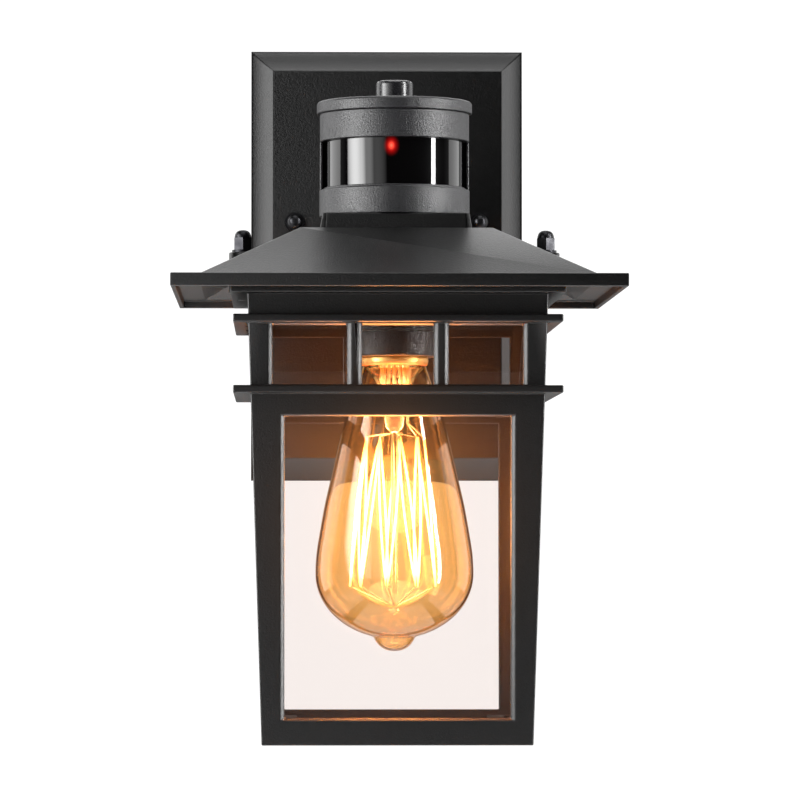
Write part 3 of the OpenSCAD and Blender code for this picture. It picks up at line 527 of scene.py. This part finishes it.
def floor():
    """A pale floor that can't be seen from below."""
    mesh = bpy.data.meshes.new("floor")
    corners = [(x * FLOOR_HALF, y * FLOOR_HALF, 0) for x, y in ((-1, -1), (1, -1), (1, 1), (-1, 1))]
    mesh.from_pydata(corners, [], [(0, 1, 2, 3)])
    made = bpy.data.objects.new("floor", mesh)
    made.location = (0, 0, FLOOR_Z)
    SCENE.collection.objects.link(made)
    finish, tree = material("floor")
    paper = add(tree, "BsdfDiffuse", Color=(0.85, 0.85, 0.85)).outputs[0]
    bright = add(tree, "Emission", Color=CLEAR, Strength=WHITE).outputs[0]
    above = add(tree, "MixShader", i0=seen_directly(tree), i1=paper, i2=bright).outputs[0]
    from_below = add(tree, "NewGeometry").outputs["Backfacing"]
    nothing = add(tree, "BsdfTransparent").outputs[0]
    finish_material(tree, add(tree, "MixShader", i0=from_below, i1=above, i2=nothing).outputs[0])
    mesh.materials.append(finish)


def world():
    """A white surround behind the object and a dim room in front of it, all white to the camera."""
    made = bpy.data.worlds.new("studio")
    SCENE.world = made
    made.use_nodes = True
    tree = made.node_tree
    tree.nodes.clear()
    along = add(tree, "SeparateXYZ", Vector=add(tree, "TexCoord").outputs["Generated"])
    room = remap(tree, along.outputs["Y"], 0.0, 0.5, ROOM_FRONT, ROOM_BACK)
    level = add(tree, "Mix", {"data_type": "FLOAT"}, i0=seen_directly(tree), i2=room, i3=WHITE)
    background = add(tree, "Background", Color=CLEAR, Strength=level.outputs[0])
    out = tree.nodes.new("ShaderNodeOutputWorld")
    tree.links.new(background.outputs[0], out.inputs["Surface"])


floor()
world()


# ---------------------------------------------------------------- lights
AIM = Vector((0, HEAD_Y, -0.05))
BROAD = ("backplate", "roof", "sensor_plinth", "arm")  # the broad flat castings


def fade_sides(data):
    """Makes an area light brightest along its middle and dark at its two upright sides."""
    data.use_nodes = True
    tree = data.node_tree
    place = add(tree, "SeparateXYZ", Vector=add(tree, "NewGeometry").outputs["Parametric"]).outputs
    across = calc(tree, "ADD", place["X"], place["Y"])
    off_centre = remap(tree, across, 0.5, 1.5, -1, 1)
    level = remap(tree, calc(tree, "MULTIPLY", off_centre, off_centre), 0, 1, 1.5, 0)
    tree.links.new(level, tree.nodes["Emission"].inputs["Strength"])


def softbox(name, azimuth, height, distance, size, power, fades=False):
    """An area light at azimuth degrees round from the front, positive to the right, facing the lantern."""
    data = bpy.data.lights.new(name, "AREA")
    data.shape = "RECTANGLE"
    data.size, data.size_y = size
    data.energy = power
    if fades:
        fade_sides(data)
    made = bpy.data.objects.new(name, data)
    SCENE.collection.objects.link(made)
    a = math.radians(azimuth)
    made.location = Vector((math.sin(a) * distance, HEAD_Y - math.cos(a) * distance, height))
    made.rotation_mode = "QUATERNION"
    made.rotation_quaternion = (AIM - made.location).to_track_quat("-Z", "Y")
    made.visible_camera = False
    return made


def light_only(light, names, state="INCLUDE"):
    """Keeps a light to the named castings, or with EXCLUDE to everything but them."""
    group = bpy.data.collections.new(light.name + "_on")
    for name in names:
        group.objects.link(NODES[name])
    for held in group.collection_objects:
        held.light_linking.link_state = state
    light.light_linking.receiver_collection = group


def bulb_light(name, height, power, radius):
    """Warm light from inside the bulb, which goes where the bulb goes."""
    data = bpy.data.lights.new(name, "POINT")
    data.energy = power
    data.color = (1.0, 0.47, 0.25)
    data.shadow_soft_size = radius
    made = bpy.data.objects.new(name, data)
    SCENE.collection.objects.link(made)
    made.location = (0, HEAD_Y, height)
    made.parent = frame["bodies"]["bulb"]
    made.visible_camera = made.visible_transmission = False


light_only(softbox("left_box", -66, 0.02, 0.55, (0.38, 0.55), 7.2, True), BROAD, "EXCLUDE")
light_only(softbox("left_mid", -46, 0.02, 0.55, (0.24, 0.55), 1.0, True), BROAD, "EXCLUDE")
light_only(softbox("left_wash", -27, 0.05, 0.75, (0.36, 0.7), 1.7), BROAD)
softbox("left_fade", -29, 0.05, 0.75, (0.44, 0.7), 0.8, True)
light_only(softbox("right_strip", 66, 0.05, 0.55, (0.07, 0.8), 8.2), BROAD, "EXCLUDE")
softbox("right_side", 119, 0.05, 0.8, (0.5, 0.9), 2.3)
softbox("left_side", -121, 0.05, 0.8, (0.5, 0.9), 3.1)
softbox("top_back", 180, 0.88, 0.62, (1.2, 0.5), 1.3)
softbox("top_low", 180, 0.5, 0.9, (0.8, 0.3), 1.7)
softbox("top_over", 180, 0.9, 0.05, (0.6, 0.3), 2.1)
softbox("top_front", 0, 0.9, 0.5, (0.6, 0.3), 2.4)
light_only(softbox("roof_wash", 180, 0.9, 0.05, (0.6, 0.3), 3.0), ("roof",))
light_only(softbox("eave_glow", 180, -0.41, 0.0, (0.5, 0.35), 0.8), ("roof",))
bulb_light("filament_light", -0.13, 3.0, 0.016)
bulb_light("neck_light", -0.088, 1.0, 0.01)


# ---------------------------------------------------------------- picture
def bloom(threshold, strength, size):
    """The soft halo that a camera sees round a glowing filament."""
    SCENE.use_nodes = True
    tree = SCENE.node_tree
    tree.nodes.clear()
    layers = tree.nodes.new("CompositorNodeRLayers")
    glare = tree.nodes.new("CompositorNodeGlare")
    glare.glare_type = "BLOOM"
    glare.quality = "HIGH"
    for key, value in (("Threshold", threshold), ("Strength", strength), ("Size", size), ("Saturation", 1.0)):
        glare.inputs[key].default_value = value
    out = tree.nodes.new("CompositorNodeComposite")
    tree.links.new(layers.outputs["Image"], glare.inputs["Image"])
    tree.links.new(glare.outputs["Image"], out.inputs["Image"])


SCENE.view_settings.view_transform = "Standard"
bloom(threshold=1.6, strength=0.2, size=0.25)
